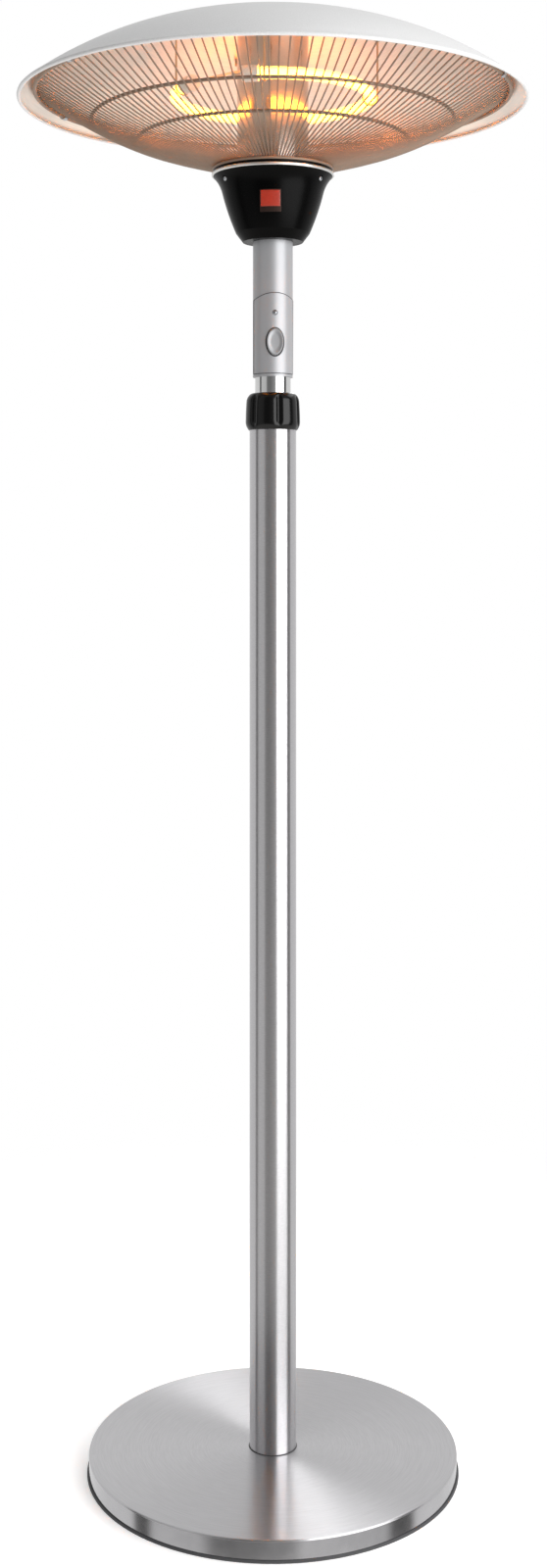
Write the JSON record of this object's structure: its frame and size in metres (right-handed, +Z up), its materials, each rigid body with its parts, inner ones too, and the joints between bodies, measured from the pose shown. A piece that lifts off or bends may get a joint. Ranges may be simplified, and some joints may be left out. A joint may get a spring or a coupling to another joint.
{
  "type": "electric patio heater",
  "caption": "Free-standing electric patio heater: telescopic steel pole on a round weighted base, with a push switch, wire guard and domed reflector over a ring element.",
  "frame": {"origin": "middle of the base's underside, on the floor under the pole", "axes": "+Z up along the pole, -Y to the front where the switch is, +X to the right seen from the front"},
  "size_m": [0.6, 0.6, 1.7037],
  "materials": {
    "brushed_steel": "satin",
    "bright_steel": "polished",
    "plain_steel": "satin",
    "guard_wire": "satin",
    "ballast": "matte",
    "black_rubber": "matte",
    "black_plastic": "gloss",
    "nylon": "satin",
    "grey_metallic": "satin",
    "grey_plastic": "satin",
    "clear_plastic": "gloss",
    "board_green": "satin",
    "inner_plastic": "matte",
    "black_enamel": "gloss",
    "dish_aluminium": "satin",
    "quartz": "gloss",
    "glow": "matte",
    "ceramic": "matte",
    "lead_sleeve": "matte"
  },
  "bodies": {
    "stand": {"base_cover": "brushed_steel", "base_weight": "ballast", "foot_ring": "black_rubber", "base_bolt": "plain_steel", "base_washer": "plain_steel", "pole_plug": "plain_steel", "lower_pole": "brushed_steel", "cable_grommet": "black_rubber", "clamp_sleeve": "nylon", "clamp_collet": "nylon"},
    "collar": {"lock_collar": "black_plastic"},
    "bush": {"guide_bush": "nylon"},
    "head": {"inner_pole": "bright_steel", "trim_ring": "bright_steel", "centre_post": "bright_steel", "bush_circlips": "plain_steel", "pole_screw": "plain_steel", "cover_screws": "plain_steel", "neck_screws": "plain_steel", "ring_nut": "plain_steel", "post_cap": "plain_steel", "post_screws": "plain_steel", "dish_screws": "plain_steel", "grille_clips": "plain_steel", "element_hooks": "plain_steel", "grille_wires": "guard_wire", "grille_outer_ring": "guard_wire", "grille_upper_ring": "guard_wire", "grille_lower_ring": "guard_wire", "grille_inner_ring": "guard_wire", "switch_housing": "grey_metallic", "switch_cover": "grey_metallic", "indicator_lens": "clear_plastic", "control_board": "board_green", "push_switch": "inner_plastic", "power_relay": "inner_plastic", "tilt_switch": "inner_plastic", "neck_housing": "black_enamel", "mounting_plate": "black_enamel", "reflector_dish": "dish_aluminium", "element_tube": "quartz", "element_filament": "glow", "element_caps": "ceramic", "terminal_block": "ceramic", "switch_leads": "lead_sleeve", "element_leads": "lead_sleeve"},
    "button": {"power_button": "grey_plastic", "switch_plunger": "inner_plastic"}
  },
  "joints": [
    {"name": "collar_turn", "type": "hinge", "parent": "stand", "child": "collar", "pos_m": [0, 0, 1.2437], "axis": [0, 0, 1], "range_deg": [0, 180]},
    {"name": "pole_slide", "type": "slide", "parent": "stand", "child": "bush", "axis": [0, 0, 1], "range_m": [-0.016, 0.4]},
    {"name": "head_swivel", "type": "hinge", "parent": "bush", "child": "head", "pos_m": [0, 0, 0.73], "axis": [0, 0, 1], "range_deg": [-170, 170]},
    {"name": "button_press", "type": "slide", "parent": "head", "child": "button", "axis": [0, 1, 0], "range_m": [0, 0.002], "stiffness_N_per_m": 600}
  ]
}
